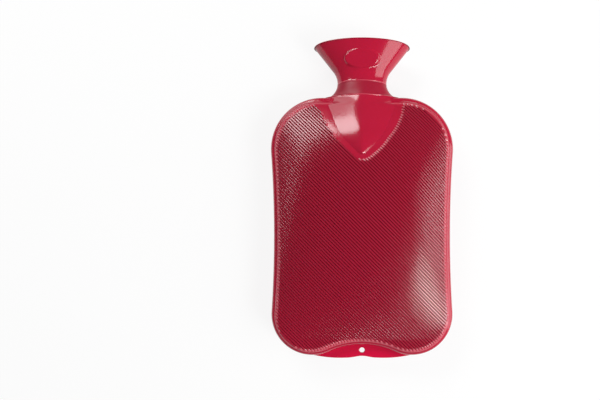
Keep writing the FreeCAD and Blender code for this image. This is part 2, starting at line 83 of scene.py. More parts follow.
def direction(start, end):
    """Angle of the way from one point to another."""
    return math.atan2(end[1] - start[1], end[0] - start[0])


def outline_ring(inset):
    """Closed ring of plan points, the given way inside the body's outline, clockwise from the top."""
    top_line = np.linspace(0, SHOULDER[0], TOP_POINTS, endpoint=False)
    half = np.vstack([
        np.column_stack([top_line, np.full(TOP_POINTS, BODY_TOP - inset)]),
        arc_points(SHOULDER, SHOULDER_RADIUS - inset,
                   math.pi / 2, direction(SHOULDER, WAIST), SHOULDER_POINTS),
        arc_points(WAIST, WAIST_RADIUS + inset, direction(WAIST, SHOULDER) % FULL_TURN,
                   direction(WAIST, FOOT) % FULL_TURN, WAIST_POINTS),
        arc_points(FOOT, FOOT_RADIUS - inset,
                   direction(FOOT, WAIST), direction(FOOT, ARCH), FOOT_POINTS),
        arc_points(ARCH, ARCH_RADIUS + inset, direction(ARCH, FOOT), math.pi / 2, ARCH_POINTS),
        [(0.0, ARCH_TOP + inset)],
    ])
    other_side = half[-2:0:-1] * (-1, 1)
    return np.vstack([half, other_side])


def inside_outline(points):
    """How far points lie inside the body's outline, negative outside it."""
    across, height = np.abs(points[:, 0]), points[:, 1]
    to_shoulder = SHOULDER_RADIUS - np.hypot(across - SHOULDER[0], height - SHOULDER[1])
    to_foot = FOOT_RADIUS - np.hypot(across - FOOT[0], height - FOOT[1])
    to_waist = np.hypot(across - WAIST[0], height - WAIST[1]) - WAIST_RADIUS
    to_arch = np.hypot(across - ARCH[0], height - ARCH[1]) - ARCH_RADIUS
    low = height <= FOOT[1]
    middle = (height <= SHOULDER[1]) & ~low
    by_shoulder = (across > SHOULDER[0]) & (height > SHOULDER[1])
    by_foot = low & (across > FOOT[0] * (height - ARCH[1]) / (FOOT[1] - ARCH[1]))
    distance = np.where(by_shoulder, to_shoulder, BODY_TOP - height)
    distance = np.where(middle, to_waist, distance)
    distance = np.where(low, to_arch, distance)
    return np.where(by_foot, to_foot, distance)


# The body's crowned front and back, one skin of soft plastic blown over a rolled edge. A crown is
# the height of a smooth dome over the plan; the back is pressed flat where the bottle lies on it.
ROLL_WIDTH = 4.6
ROLL_DEPTH = 7.0
ROLL_STEPS = 12
STRIP_DEPTH = 13.0
STRIP_END = 4.2
BORDER = 6.4
CROWN_START = BORDER + 0.6
EDGE_DEPTH = 14.5
FRONT_CROWN = 37.0
BACK_CROWN = 27.6
SIDE_FULLNESS = 0.4
END_FULLNESS = 0.3
SHOULDER_FULLNESS = 0.25
REST_ROUND = 1.2
FIELD_WIDTH = BODY_WIDTH - 2 * BORDER
FIELD_LOW = ARCH_TOP + BORDER
FIELD_HIGH = BODY_TOP - BORDER
FIELD_MIDDLE = (FIELD_LOW + FIELD_HIGH) / 2


def crown_depth(across, height, crown):
    """Depth of a crowned field from the parting plane."""
    side = np.clip(2 * across / FIELD_WIDTH, -1, 1)
    end = np.clip(2 * (height - FIELD_MIDDLE) / (FIELD_HIGH - FIELD_LOW), -1, 1)
    over_width = (1 - side ** 2) * (1 + SIDE_FULLNESS * side ** 2)
    over_length = (1 - end ** 2) * (1 + SHOULDER_FULLNESS * end + END_FULLNESS * end ** 2)
    return EDGE_DEPTH + (crown - EDGE_DEPTH) * over_width * over_length


def smooth_step(value, low, high):
    """Soft change from 0 to 1 between two values."""
    share = np.clip((value - low) / (high - low), 0, 1)
    return share * share * (3 - 2 * share)


def rounded_floor(depth, floor_depth, blend):
    """A depth that is held at the floor, with a soft round where it gets there."""
    overlap = np.clip(blend - np.abs(floor_depth - depth), 0, None) / blend
    return -(np.maximum(-depth, -floor_depth) + overlap ** 2 * blend / 4)


FOOT_BORDER = 4.8
WAIST_WIDENING = 1.2
WAIST_SPAN = (30.0, 110.0)
SHOULDER_WIDENING = 2.4
SHOULDER_SPAN = (215.0, 275.0)
BEAD_RISE = 0.7
BEAD_WIDTH = 0.9
BEAD_SHIFT = 0.4


def panel_border(height):
    """Width of the smooth border round the ribbed panel, widest at the shoulders."""
    at_waist = WAIST_WIDENING * smooth_step(height, *WAIST_SPAN)
    return FOOT_BORDER + at_waist + SHOULDER_WIDENING * smooth_step(height, *SHOULDER_SPAN)


def bead_share(height, inset):
    """The low bead that closes the ribbed panel on the inside of its smooth border."""
    return np.exp(-((inset - panel_border(height) - BEAD_SHIFT) / BEAD_WIDTH) ** 2)


def body_depth(across, height, inset, crown):
    """Depth of the body's skin from the parting plane, roll and crown together."""
    reach = np.clip(1 - inset / ROLL_WIDTH, 0, 1)
    roll = STRIP_DEPTH - ROLL_DEPTH + ROLL_DEPTH * np.sqrt(1 - reach ** 2)
    rise = smooth_step(inset, STRIP_END, CROWN_START)
    depth = roll + (crown_depth(across, height, crown) - roll) * rise
    if crown == FRONT_CROWN:
        return depth + BEAD_RISE * bead_share(height, inset)
    return rounded_floor(depth, PARTING_LEVEL, REST_ROUND)


def in_frame(points, depth):
    """Plan points in millimetres and their depth from the parting plane, as metres in the frame."""
    depth = np.broadcast_to(depth, len(points))
    return np.column_stack([
        points[:, 0], points[:, 1] - WHOLE_LENGTH / 2, PARTING_LEVEL + depth,
    ]) / 1000


def strip_faces(first, second, count, closed=True):
    """Quads between two rows of points, given the numbers of their first points."""
    last = count if closed else count - 1
    step = [(i, (i + 1) % count) for i in range(last)]
    return [(first + a, first + b, second + b, second + a) for a, b in step]


def band_faces(row_count, count, closed=True):
    """Quads over rows of points that follow each other."""
    faces = []
    for index in range(row_count - 1):
        faces += strip_faces(index * count, (index + 1) * count, count, closed)
    return faces


def turned_over(faces):
    """The same faces, looking the other way."""
    return [face[::-1] for face in faces]


# The parting line stands up as a fine seam; its rows are pairs of inset and depth.
SEAM_RISE = 0.3
SEAM_ROWS = ((-SEAM_RISE, 0.0), (-SEAM_RISE, 0.35), (0.0, 0.6), (0.0, 3.0))
BEAD_ZONE_END = 10.4
BORDER_ZONE_END = 24.0
FRONT_ROWS = (26, 12, 36)
BACK_ROWS = (10, 8, 20)


def body_side(crown, side):
    """Rows of points from the parting line to the middle, for the front (1) or the back (-1)."""
    rows = [in_frame(outline_ring(inset), side * depth) for inset, depth in SEAM_ROWS]
    bead_rows, border_rows, inner_rows = FRONT_ROWS if side > 0 else BACK_ROWS
    turns = np.radians(np.linspace(0, 90, ROLL_STEPS, endpoint=False))
    insets = [
        *(ROLL_WIDTH * (1 - np.cos(turns))),
        *np.linspace(ROLL_WIDTH, BEAD_ZONE_END, bead_rows)[:-1],
        *np.linspace(BEAD_ZONE_END, BORDER_ZONE_END, border_rows),
    ]
    for inset in insets:
        ring = outline_ring(inset)
        rows.append(in_frame(ring, side * body_depth(ring[:, 0], ring[:, 1], inset, crown)))
    middle = np.array([[0.0, FIELD_MIDDLE]])
    for share in np.linspace(1.0, 0.0, inner_rows)[1:]:
        points = middle + (ring - middle) * share if share > 0 else middle
        rows.append(in_frame(points, side * body_depth(points[:, 0], points[:, 1], inset, crown)))
    return rows


def skin(rows):
    """Points and faces of a closed cap of rings whose last row is one point."""
    count = len(rows[0])
    faces = band_faces(len(rows) - 1, count)
    tip = (len(rows) - 1) * count
    last = tip - count
    faces += [(last + i, last + (i + 1) % count, tip) for i in range(count)]
    return np.vstack(rows), faces


def merged(parts):
    """Several pairs of points and faces as one."""
    points, faces, start = [], [], 0
    for part_points, part_faces in parts:
        points.append(part_points)
        faces += [tuple(start + corner for corner in face) for face in part_faces]
        start += len(part_points)
    return np.vstack(points), faces


def mesh_object(name, points, faces, material=None):
    """A smooth-shaded piece made from points and faces."""
    mesh = bpy.data.meshes.new(name)
    mesh.from_pydata([tuple(point) for point in points], [], faces)
    mesh.shade_smooth()
    if material:
        mesh.materials.append(material)
    piece = bpy.data.objects.new(name, mesh)
    bpy.context.scene.collection.objects.link(piece)
    return piece


front_points, front_faces = skin(body_side(FRONT_CROWN, 1))
moulding_parts = [(front_points, turned_over(front_faces)), skin(body_side(BACK_CROWN, -1))]
tube_start = sum(len(points) for points, faces in moulding_parts)

# The neck, its funnel and the tongue, moulded with the body and drawn as one tube of half ovals.
# It is narrowest under the funnel and flares into the shoulders, and its front half climbs the
# crown as a pointed tongue with a ridge.
NECK_HEIGHT = 304.8
NECK_WIDTH = 54.6
NECK_DEPTH = 35.0
NECK_SPREAD = 0.06
RIM_WIDTH = 106.4
RIM_DEPTH = 54.0
BACK_RIM_DEPTH = 52.0
FUNNEL_CURVE = 22.0
SHOULDER_CURVE = 16.8
FUNNEL_WALL = 2.2
FLARE_END = NECK_HEIGHT - SHOULDER_CURVE
RIM_RISE = WHOLE_LENGTH - NECK_HEIGHT
CURVE_BEYOND_RIM = FUNNEL_CURVE - (RIM_WIDTH - NECK_WIDTH) / 2
CONE_LEAN = (
    math.asin(FUNNEL_CURVE / math.hypot(RIM_RISE, CURVE_BEYOND_RIM))
    - math.atan2(CURVE_BEYOND_RIM, RIM_RISE)
)


def neck_half_width(height):
    """Half width of neck and funnel: a curve each side of the narrowest place, then a cone."""
    rise = height - NECK_HEIGHT
    below, above = (
        NECK_WIDTH / 2 + curve - np.sqrt(np.clip(curve ** 2 - rise ** 2, 0, None))
        for curve in (SHOULDER_CURVE, FUNNEL_CURVE)
    )
    cone = RIM_WIDTH / 2 - (RIM_RISE - rise) * math.tan(CONE_LEAN)
    upper = np.where(rise < FUNNEL_CURVE * math.sin(CONE_LEAN), above, cone)
    return np.where(rise < 0, below, upper)


def neck_half_depth(height, rim_depth=RIM_DEPTH):
    """Half depth of neck and funnel, which opens less from front to back than it does across."""
    spread = (rim_depth - NECK_DEPTH) / (RIM_WIDTH - NECK_WIDTH)
    grown = spread * (neck_half_width(height) - NECK_WIDTH / 2)
    return NECK_DEPTH / 2 + np.where(height < NECK_HEIGHT, NECK_SPREAD * (NECK_HEIGHT - height), grown)


def smooth_through(places, values):
    """Natural cubic curve through a few given points."""
    places, values = np.array(places, float), np.array(values, float)
    gaps = np.diff(places)
    slopes = np.diff(values) / gaps
    count = len(places)
    matrix, right = np.eye(count), np.zeros(count)
    for i in range(1, count - 1):
        matrix[i, i - 1:i + 2] = gaps[i - 1], 2 * (gaps[i - 1] + gaps[i]), gaps[i]
        right[i] = 6 * (slopes[i] - slopes[i - 1])
    bends = np.linalg.solve(matrix, right)

    def curve(place):
        i = np.clip(np.searchsorted(places, place) - 1, 0, count - 2)
        left, rest = place - places[i], places[i + 1] - place
        return (
            (bends[i] * rest ** 3 + bends[i + 1] * left ** 3) / (6 * gaps[i])
            + (values[i] / gaps[i] - bends[i] * gaps[i] / 6) * rest
            + (values[i + 1] / gaps[i] - bends[i + 1] * gaps[i] / 6) * left
        )

    return curve


TONGUE_TIP = 220.0
tongue_width_squared = smooth_through(
    [TONGUE_TIP, 227.3, 239.0, 251.0, 264.0, 277.0, 288.0],
    [0.0, 96, 440, 800, 1110, 1450, 1890],
)
ridge_line = smooth_through(
    [TONGUE_TIP, 232.0, 243.0, 253.0, 262.0, 270.0, 278.0, 290.0, NECK_HEIGHT],
    [35.5, 35.1, 33.4, 30.8, 27.9, 25.1, 22.4, 19.2, 17.5],
)
NOSE_LENGTH = 4.0
NOSE_FALL = 2.0
CREASE_SINK = 0.35
CREASE_TOP = 291.0
CREASE_FADE = 15.0
ROOF_TOP = 300.0
ROOF_FADE = 24.0
ROOF_POWER = 1.35
ROOF_ROUND = 0.16
COLUMNS = 97
half_turns = np.radians(np.linspace(-90, 90, COLUMNS))


def tongue_ridge(height):
    """Level of the tongue's middle, which climbs to its blunt tip and falls there to the front."""
    reach = np.clip(1 - (height - TONGUE_TIP) / NOSE_LENGTH, 0, 1)
    return ridge_line(height) - NOSE_FALL * (1 - np.sqrt(1 - reach ** 2))


def tube_half_width(height):
    """Half width of the tongue, and of the neck and funnel above it."""
    tongue = np.sqrt(np.clip(tongue_width_squared(height), 0, None))
    return np.where(height < FLARE_END, tongue, neck_half_width(height))


def crease_depth(height):
    """Depth at which the tube's sides sink into the body."""
    on_body = crown_depth(tube_half_width(height), height, FRONT_CROWN) - CREASE_SINK
    return on_body * smooth_step(CREASE_TOP - height, 0.0, CREASE_FADE)


def roof_fall(side):
    """Fall of the tongue's roof-like section from its rounded ridge to its crease."""
    ridge = ROOF_ROUND ** ROOF_POWER
    fall = (side ** 2 + ROOF_ROUND ** 2) ** (ROOF_POWER / 2) - ridge
    return fall / ((1 + ROOF_ROUND ** 2) ** (ROOF_POWER / 2) - ridge)


def tube_row(height, front):
    """Half an oval of the tube at one height, its plan points and its depths."""
    width = float(tube_half_width(height))
    if front and height < NECK_HEIGHT:
        top, low = float(tongue_ridge(height)), float(crease_depth(height))
        roofed = float(smooth_step(ROOF_TOP - height, 0.0, ROOF_FADE))
    else:
        rim_depth = RIM_DEPTH if front else BACK_RIM_DEPTH
        top, low, roofed = float(neck_half_depth(height, rim_depth)), 0.0, 0.0
    points = np.column_stack([width * np.sin(half_turns), np.full(COLUMNS, height)])
    oval = np.cos(half_turns).clip(0, None)
    section = (1 - roofed) * oval + roofed * (1 - roof_fall(np.sin(half_turns)))
    depth = low + (top - low) * section
    return points, depth if front else -depth


# Two fine lines close the neck's belt, and a flat oval pad stands out of the funnel's front.
BELT_LOW = 287.8
BELT_HIGH = 303.4
BELT_RISE = 0.5
LINE_EDGE = (0.15, 0.75)
LOWER_LINE_END = (19.0, 22.0)
PAD_HEIGHT = 325.5
PAD_HALF = (19.0, 9.5)
PAD_RISE = 0.45
PAD_FLATNESS = 0.45
PAD_EDGE = (0.93, 1.03)


def belt_rise(points, front):
    """Relief of the two belt lines; the lower one runs over the front only."""
    upper, lower = (
        1 - smooth_step(np.abs(points[:, 1] - height), *LINE_EDGE) for height in (BELT_HIGH, BELT_LOW)
    )
    lower = lower * (1 - smooth_step(np.abs(points[:, 0]), *LOWER_LINE_END))
    return BELT_RISE * (upper + lower if front else upper)


def pad_rise(points, depth):
    """The pad is flatter than the funnel, so that its two ends stand out most."""
    reach = np.hypot(points[:, 0] / PAD_HALF[0], (points[:, 1] - PAD_HEIGHT) / PAD_HALF[1])
    side = PAD_FLATNESS * points[:, 0] / neck_half_width(points[:, 1])
    flat = neck_half_depth(points[:, 1]) * np.sqrt(np.clip(1 - side ** 2, 0, None)) + PAD_RISE
    return (flat - depth) * (1 - smooth_step(reach, *PAD_EDGE))


LIP = FUNNEL_WALL / 2
rim_level = WHOLE_LENGTH - LIP
BACK_START = 255.0
NOSE_START = 0.02
NOSE_ROWS = 9
ROW_SPACINGS = (
    (225.0, 286.0, 1.5),
    (286.0, 289.5, 0.25),
    (289.5, 302.0, 0.75),
    (302.0, 305.0, 0.25),
    (305.0, rim_level, 0.6),
)
stations = list(np.linspace(TONGUE_TIP + NOSE_START, TONGUE_TIP + NOSE_LENGTH, NOSE_ROWS))
for start, end, spacing in ROW_SPACINGS:
    stations += list(np.arange(start, end, spacing))
stations.append(rim_level)
front_rows, back_rows = [], []
for height in stations:
    points, depth = tube_row(height, True)
    depth = depth + belt_rise(points, True)
    if height > NECK_HEIGHT:
        depth = depth + pad_rise(points, depth)
    front_rows.append(in_frame(points, depth))
    if height > BACK_START:
        points, depth = tube_row(height, False)
        back_rows.append(in_frame(points, depth - belt_rise(points, False)))
moulding_parts.append((np.vstack(front_rows), band_faces(len(front_rows), COLUMNS, closed=False)))
back_faces = band_faces(len(back_rows), COLUMNS, closed=False)
moulding_parts.append((np.vstack(back_rows), turned_over(back_faces)))

# The funnel's rounded lip and its inside, a wall's thickness within the outside, down to the round
# seat and the hole that hold the threaded insert.
LIP_STEPS = 9
THROAT_ROWS = 24
INSERT_RADIUS = 15.0
around = np.radians(np.linspace(0, 360, 2 * (COLUMNS - 1), endpoint=False))


def oval_ring(height, half_width, half_depth, back_depth):
    """Ring of the funnel, whose back half is a little flatter than its front half."""
    points = np.column_stack([half_width * np.sin(around), np.full(len(around), height)])
    depth = np.where(np.cos(around) > 0, half_depth, back_depth)
    return in_frame(points, depth * np.cos(around))


lip_rows = []
for turn in np.radians(np.linspace(0, 180, LIP_STEPS)):
    out = LIP * math.cos(turn) - LIP
    lip_rows.append(oval_ring(
        rim_level + LIP * math.sin(turn),
        RIM_WIDTH / 2 + out, RIM_DEPTH / 2 + out, BACK_RIM_DEPTH / 2 + out,
    ))
for height in np.linspace(rim_level, BELT_HIGH, THROAT_ROWS)[1:]:
    wide = float(neck_half_width(height)) - FUNNEL_WALL
    deep = float(neck_half_depth(height)) - FUNNEL_WALL
    back_deep = float(neck_half_depth(height, BACK_RIM_DEPTH)) - FUNNEL_WALL
    lip_rows.append(oval_ring(height, wide, deep, back_deep))
for share in (0.5, 1.0):
    seat_depth = deep + (INSERT_RADIUS - deep) * share
    lip_rows.append(oval_ring(
        BELT_HIGH, wide + (INSERT_RADIUS - wide) * share, seat_depth, seat_depth,
    ))
lip_rows.append(oval_ring(BELT_LOW, INSERT_RADIUS, INSERT_RADIUS, INSERT_RADIUS))
moulding_parts.append((np.vstack(lip_rows), band_faces(len(lip_rows), len(around))))

# The hanging flange, a thin flat plate under the lower arch with two shallow lobes and a hole
# for a hook. It is moulded with the body, so its edges are only slightly rounded.
FLANGE_THICKNESS = 3.0
FLANGE_EDGE = 0.6
FLANGE_REACH = FOOT[0] + FOOT_RADIUS / 3
FLANGE_OVERLAP = 2.5
FLANGE_POINTS = 97
LOBE_RADIUS = 135.5
LOBE_SPREAD = 50.0
DIP_ROUND = 7.0
DIP_LIFT = 1.0
DIP_REACH = 14.0
HOLE = (0.0, 8.7)
HOLE_RADIUS = 2.9
HOLE_STEP = 7.5
flange_across = np.linspace(-FLANGE_REACH, FLANGE_REACH, FLANGE_POINTS)
lobe_offset = np.hypot(flange_across, DIP_ROUND) - LOBE_SPREAD / 2
lower_edge = LOBE_RADIUS - np.sqrt(LOBE_RADIUS ** 2 - lobe_offset ** 2)
lower_edge = lower_edge + DIP_LIFT * (1 - smooth_step(np.abs(flange_across), 0.0, DIP_REACH))
upper_edge = np.full(FLANGE_POINTS, ARCH_TOP + FLANGE_OVERLAP)
flange_ring = np.vstack([
    np.column_stack([flange_across, lower_edge]), np.column_stack([flange_across, upper_edge])[::-1],
])
hole_turns = np.radians(np.arange(0, 360, HOLE_STEP))
hole_ring = np.array(HOLE) + HOLE_RADIUS * np.column_stack([np.cos(hole_turns), np.sin(hole_turns)])
flange_curve = bpy.data.curves.new("flange_outline", "CURVE")
flange_curve.dimensions = "2D"
flange_curve.fill_mode = "BOTH"
flange_curve.extrude = (FLANGE_THICKNESS / 2 - FLANGE_EDGE) / 1000
flange_curve.bevel_depth = FLANGE_EDGE / 1000
flange_curve.bevel_resolution = 3
flange_curve.offset = -FLANGE_EDGE / 1000
for ring in (flange_ring, hole_ring):
    corners = np.zeros((len(ring), 4))
    corners[:, :2] = in_frame(ring, 0.0)[:, :2]
    spline = flange_curve.splines.new("POLY")
    spline.points.add(len(ring) - 1)
    spline.points.foreach_set("co", corners.ravel())
    spline.use_cyclic_u = True
flange_plan = bpy.data.objects.new("flange_plan", flange_curve)
bpy.context.scene.collection.objects.link(flange_plan)
flange_mesh = bpy.data.meshes.new_from_object(
    flange_plan.evaluated_get(bpy.context.evaluated_depsgraph_get())
)
bpy.data.objects.remove(flange_plan)
flange_points = np.array([tuple(vertex.co) for vertex in flange_mesh.vertices])
flange_points[:, 2] += PARTING_LEVEL / 1000
moulding_parts.append((flange_points, [tuple(face.vertices) for face in flange_mesh.polygons]))


# The moulding's plastic, a glossy red soft plastic. Thin walls over a pale ground get a painted glow
# of the light through them, the grooves between the ribs painted shade, the rib ends, the panel's bead
# and the belt's lines painted highlights, and the neck's belt is duller and darker.
def set_inputs(tree, node, inputs):
    """Sets a node's inputs to plain values, or links them to other nodes' sockets."""
    for socket, value in inputs.items():
        if isinstance(value, bpy.types.NodeSocket):
            tree.links.new(value, node.inputs[socket])
        else:
            node.inputs[socket].default_value = value


def add_node(tree, kind, inputs=None, **settings):
    """A new node with its settings and its inputs."""
    node = tree.nodes.new(kind)
    for name, value in settings.items():
        setattr(node, name, value)
    set_inputs(tree, node, inputs or {})
    return node


def new_finish(name):
    """A new material, with its node tree and its main shader."""
    material = bpy.data.materials.new(name)
    material.use_nodes = True
    return material, material.node_tree, material.node_tree.nodes["Principled BSDF"]


def clouds(tree, scale, detail):
    """Cover of faint clouds that stay in place on the piece."""
    place = add_node(tree, "ShaderNodeTexCoord")
    noise = add_node(tree, "ShaderNodeTexNoise", {
        "Vector": place.outputs["Object"], "Scale": scale, "Detail": detail,
    })
    return noise.outputs["Fac"]


def mixed_colour(tree, share, first, second):
    """Socket of a colour between two others."""
    mix = add_node(tree, "ShaderNodeMix", {"Factor": share, "A": first, "B": second}, data_type="RGBA")
    return mix.outputs["Result"]


def ranged(tree, share, low, high):
    """Socket of a value that goes from low to high with a share from 0 to 1."""
    span = add_node(tree, "ShaderNodeMapRange", {"Value": share, "To Min": low, "To Max": high})
    return span.outputs["Result"]


def bumped(tree, cover, strength, distance):
    """Socket of a surface that stands up by a cover."""
    bump = add_node(tree, "ShaderNodeBump", {
        "Height": cover, "Strength": strength, "Distance": distance,
    })
    return bump.outputs["Normal"]


DARKER_RED = (0.42, 0.0055, 0.032, 1)
LIGHTER_RED = (0.47, 0.0070, 0.037, 1)
# Zone tones: the belt's and the ribs' are the plastic's own; the rest is painted light, a glow through
# the thin walls, highlights on the belt lines, the rib ends and the bead, and shade down in the
# grooves between the ribs.
ZONE_COLOURS = {
    "thin_wall_glow": (0.64, 0.002, 0.045, 1),
    "belt": (0.34, 0.010, 0.032, 1),
    "belt_line": (0.66, 0.085, 0.13, 1),
    "rib": (0.34, 0.0072, 0.029, 1),
    "rib_end": (0.64, 0.12, 0.16, 1),
    "groove": (0.20, 0.003, 0.017, 1),
}
SMOOTHEST, ROUGHEST = 0.10, 0.15
ZONE_ROUGHNESS = {"belt": 0.22, "rib": 0.04}
PLAIN_SHEEN, BELT_SHEEN = 0.5, 0.2
pvc, pvc_tree, pvc_shader = new_finish("soft_red_plastic")
cloud = clouds(pvc_tree, 38.0, 3.0)
tone = mixed_colour(pvc_tree, cloud, DARKER_RED, LIGHTER_RED)
zone_amounts = {}
for zone, colour in ZONE_COLOURS.items():
    zone_amounts[zone] = add_node(pvc_tree, "ShaderNodeAttribute", attribute_name=zone).outputs["Fac"]
    tone = mixed_colour(pvc_tree, zone_amounts[zone], tone, colour)
roughness = ranged(pvc_tree, cloud, SMOOTHEST, ROUGHEST)
for zone, extra in ZONE_ROUGHNESS.items():
    duller = {0: zone_amounts[zone], 1: extra, 2: roughness}
    roughness = add_node(pvc_tree, "ShaderNodeMath", duller, operation="MULTIPLY_ADD").outputs[0]
set_inputs(pvc_tree, pvc_shader, {
    "Base Color": tone,
    "Roughness": roughness,
    "IOR": 1.54,
    "Specular IOR Level": ranged(pvc_tree, zone_amounts["belt"], PLAIN_SHEEN, BELT_SHEEN),
    "Subsurface Weight": 0.1,
    "Subsurface Radius": (1.0, 0.15, 0.15),
    "Subsurface Scale": 0.0012,
    "Normal": bumped(pvc_tree, clouds(pvc_tree, 900.0, 2.0), 0.12, 0.0002),
})

# The bottle's moulding is put together from its parts, and each zone of it gets its share of tone.
# Painted glow of light through the thin walls of the funnel above the belt and of the flange.
FUNNEL_GLOW = 0.15
FUNNEL_FADE = 8.0
BELT_FADE = 0.8
FLANGE_ZONE = (-20.0, -19.0)
# Strengths of the painted highlights on the belt's lines and on the panel's bead; the bead's is on the
# front only.
LINE_HIGHLIGHT = 0.8
BEAD_HIGHLIGHT = 0.55
BEAD_LEVEL = PARTING_LEVEL + 5
moulding_points, moulding_faces = merged(moulding_parts)
moulding = mesh_object("bottle_moulding", moulding_points, moulding_faces, pvc)
plan = moulding_points * 1000 + (0, WHOLE_LENGTH / 2, 0)
heights, levels = plan[:, 1], plan[:, 2]
on_tube = np.zeros(len(plan))
on_tube[tube_start:] = 1
on_front = (levels > PARTING_LEVEL - 0.01) * on_tube
above_belt = smooth_step(heights, BELT_HIGH, BELT_HIGH + FUNNEL_FADE)
in_belt = (
    smooth_step(heights, BELT_LOW, BELT_LOW + BELT_FADE)
    * smooth_step(-heights, -BELT_HIGH, BELT_FADE - BELT_HIGH)
)
# Painted highlight on the belt's raised lines, as strong as their relief.
belt_lines = belt_rise(plan, True) * on_front + belt_rise(plan, False) * (on_tube - on_front)
# Painted highlight along the panel's bead, on the front only.
bead_highlight_mask = bead_share(heights, inside_outline(plan)) * (1 - on_tube) * (levels > BEAD_LEVEL)
zone_shares = {
    "thin_wall_glow": np.maximum(FUNNEL_GLOW * above_belt, smooth_step(-heights, *FLANGE_ZONE)) * on_tube,
    "belt": in_belt * on_tube,
    "belt_line": np.clip(belt_lines, 0, 1) / BELT_RISE * LINE_HIGHLIGHT,
    "groove": np.zeros(len(plan)),
    "rib": np.zeros(len(plan)),
    "rib_end": BEAD_HIGHLIGHT * bead_highlight_mask,
}


def store_share(piece, zone, shares):
    """Keeps how much each point of a piece belongs to a zone of the finish."""
    attribute = piece.data.attributes.new(zone, "FLOAT", "POINT")
    attribute.data.foreach_set("value", shares.astype(np.float32))


for zone, shares in zone_shares.items():
    store_share(moulding, zone, shares)
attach(moulding, "bottle")
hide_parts("bottle")

# The diagonal ribs of the front, raised in the mould. They fill the front field up to a smooth
# border and leave a smooth pointed field under the neck's tongue.
RIB_PITCH = 2.68
RIB_HEIGHT = 1.15
RIB_MARGIN = 0.6
RIB_LEAN = math.radians(-45)
RIB_NUMBERS = range(-90, 91)
RIB_REACH = 260.0
RIB_SCAN = 0.25
STEP_ALONG = 3.5
END_SLOPE = 3.0
END_STEPS = np.array([0.0, 0.4, 1.1, 1.8, 2.5, 3.0, 3.6, 4.4, 5.4, 6.4])
NOTCH_TIP = 215.6
FAR_BESIDE = 1000.0
notch_width_squared = smooth_through(
    [NOTCH_TIP, 222.1, 229.3, 239.6, 247.0, 264.6, 278.0, 300.0],
    [0.0, 142, 380, 740, 1050, 1656, 1900, 2400],
)
rib_way = np.array([math.cos(RIB_LEAN), math.sin(RIB_LEAN)])
rib_aside = np.array([-rib_way[1], rib_way[0]])


def in_panel(points):
    """How far points lie inside the ribbed panel, negative outside it."""
    notch = np.sqrt(np.clip(notch_width_squared(points[:, 1]), 0, None))
    beside = np.where(points[:, 1] > NOTCH_TIP, np.abs(points[:, 0]) - notch, FAR_BESIDE)
    return np.minimum(inside_outline(points) - panel_border(points[:, 1]) - RIB_MARGIN, beside)


def rib_lines():
    """Plan points of each straight rib between the panel's borders, close together at its ends."""
    lines = []
    scan = np.arange(-RIB_REACH, RIB_REACH, RIB_SCAN)
    for number in RIB_NUMBERS:
        base = np.array([0.0, FIELD_MIDDLE]) + rib_aside * RIB_PITCH * number
        room = in_panel(base + scan[:, None] * rib_way)
        changes = np.flatnonzero(np.diff((room > 0).astype(int)))
        cuts = [scan[i] + RIB_SCAN * room[i] / (room[i] - room[i + 1]) for i in changes]
        for start, end in zip(cuts[::2], cuts[1::2]):
            plain_length = end - start - 2 * END_STEPS[-1]
            if plain_length < STEP_ALONG:
                continue
            count = int(plain_length / STEP_ALONG) + 2
            between = np.linspace(start + END_STEPS[-1], end - END_STEPS[-1], count)
            along = np.concatenate([start + END_STEPS, between[1:-1], (end - END_STEPS)[::-1]])
            lines.append(base + along[:, None] * rib_way)
    return lines


def wire_object(name, points, edges):
    """An object of points and edges only, for Geometry Nodes to read as curves."""
    mesh = bpy.data.meshes.new(name)
    mesh.from_pydata([tuple(point) for point in points], edges, [])
    piece = bpy.data.objects.new(name, mesh)
    bpy.context.scene.collection.objects.link(piece)
    return piece


rib_plans = rib_lines()
plan_edges, first = [], 0
for line in rib_plans:
    plan_edges += [(first + i, first + i + 1) for i in range(len(line) - 1)]
    first += len(line)
ribs = wire_object("bottle_ribs", in_frame(np.vstack(rib_plans), 0.0), plan_edges)

# The ribs are cast down on a copy of the front's crown, without its seam and lowest edge rows.
GUIDE_START = 8
crown_points, crown_faces = skin(body_side(FRONT_CROWN, 1)[GUIDE_START:])
crown = mesh_object("crown_guide", crown_points, turned_over(crown_faces))

# One rib and half a groove each side of it, across the rib in millimetres, closed below the skin.
rib_half = [
    (RIB_PITCH / 2, -0.6), (RIB_PITCH / 2, 0.07), (1.13, 0.10), (0.98, 0.60), (0.90, 0.98),
    (0.78, 1.11), (0.55, RIB_HEIGHT),
]
rib_mirrored = [(-aside, rise) for aside, rise in rib_half]
rib_profile = rib_mirrored[:1] + rib_half + rib_mirrored[:0:-1]
profile = wire_object(
    "rib_profile",
    [(rise / 1000, aside / 1000, 0) for aside, rise in rib_profile[::-1]],
    [(i, (i + 1) % len(rib_profile)) for i in range(len(rib_profile))],
)


def new_tree(name, inputs):
    """A Geometry Nodes tree, the identifiers of its named inputs, and the node that gives them."""
    tree = bpy.data.node_groups.new(name, "GeometryNodeTree")
    for side in ("INPUT", "OUTPUT"):
        tree.interface.new_socket("Geometry", in_out=side, socket_type="NodeSocketGeometry")
    keys = {}
    for label, (kind, value) in inputs.items():
        socket = tree.interface.new_socket(label, in_out="INPUT", socket_type=kind)
        if value is not None:
            socket.default_value = value
        keys[label] = socket.identifier
    return tree, keys, add_node(tree, "NodeGroupInput").outputs


def end_tree(tree, geometry, plastic):
    """Ends a tree: smooth faces, real geometry and its plastic."""
    smooth = add_node(tree, "GeometryNodeSetShadeSmooth", {"Geometry": geometry})
    real = add_node(tree, "GeometryNodeRealizeInstances", {"Geometry": smooth.outputs["Geometry"]})
    finished = add_node(tree, "GeometryNodeSetMaterial", {
        "Geometry": real.outputs["Geometry"], "Material": plastic,
    })
    add_node(tree, "NodeGroupOutput", {"Geometry": finished.outputs["Geometry"]})


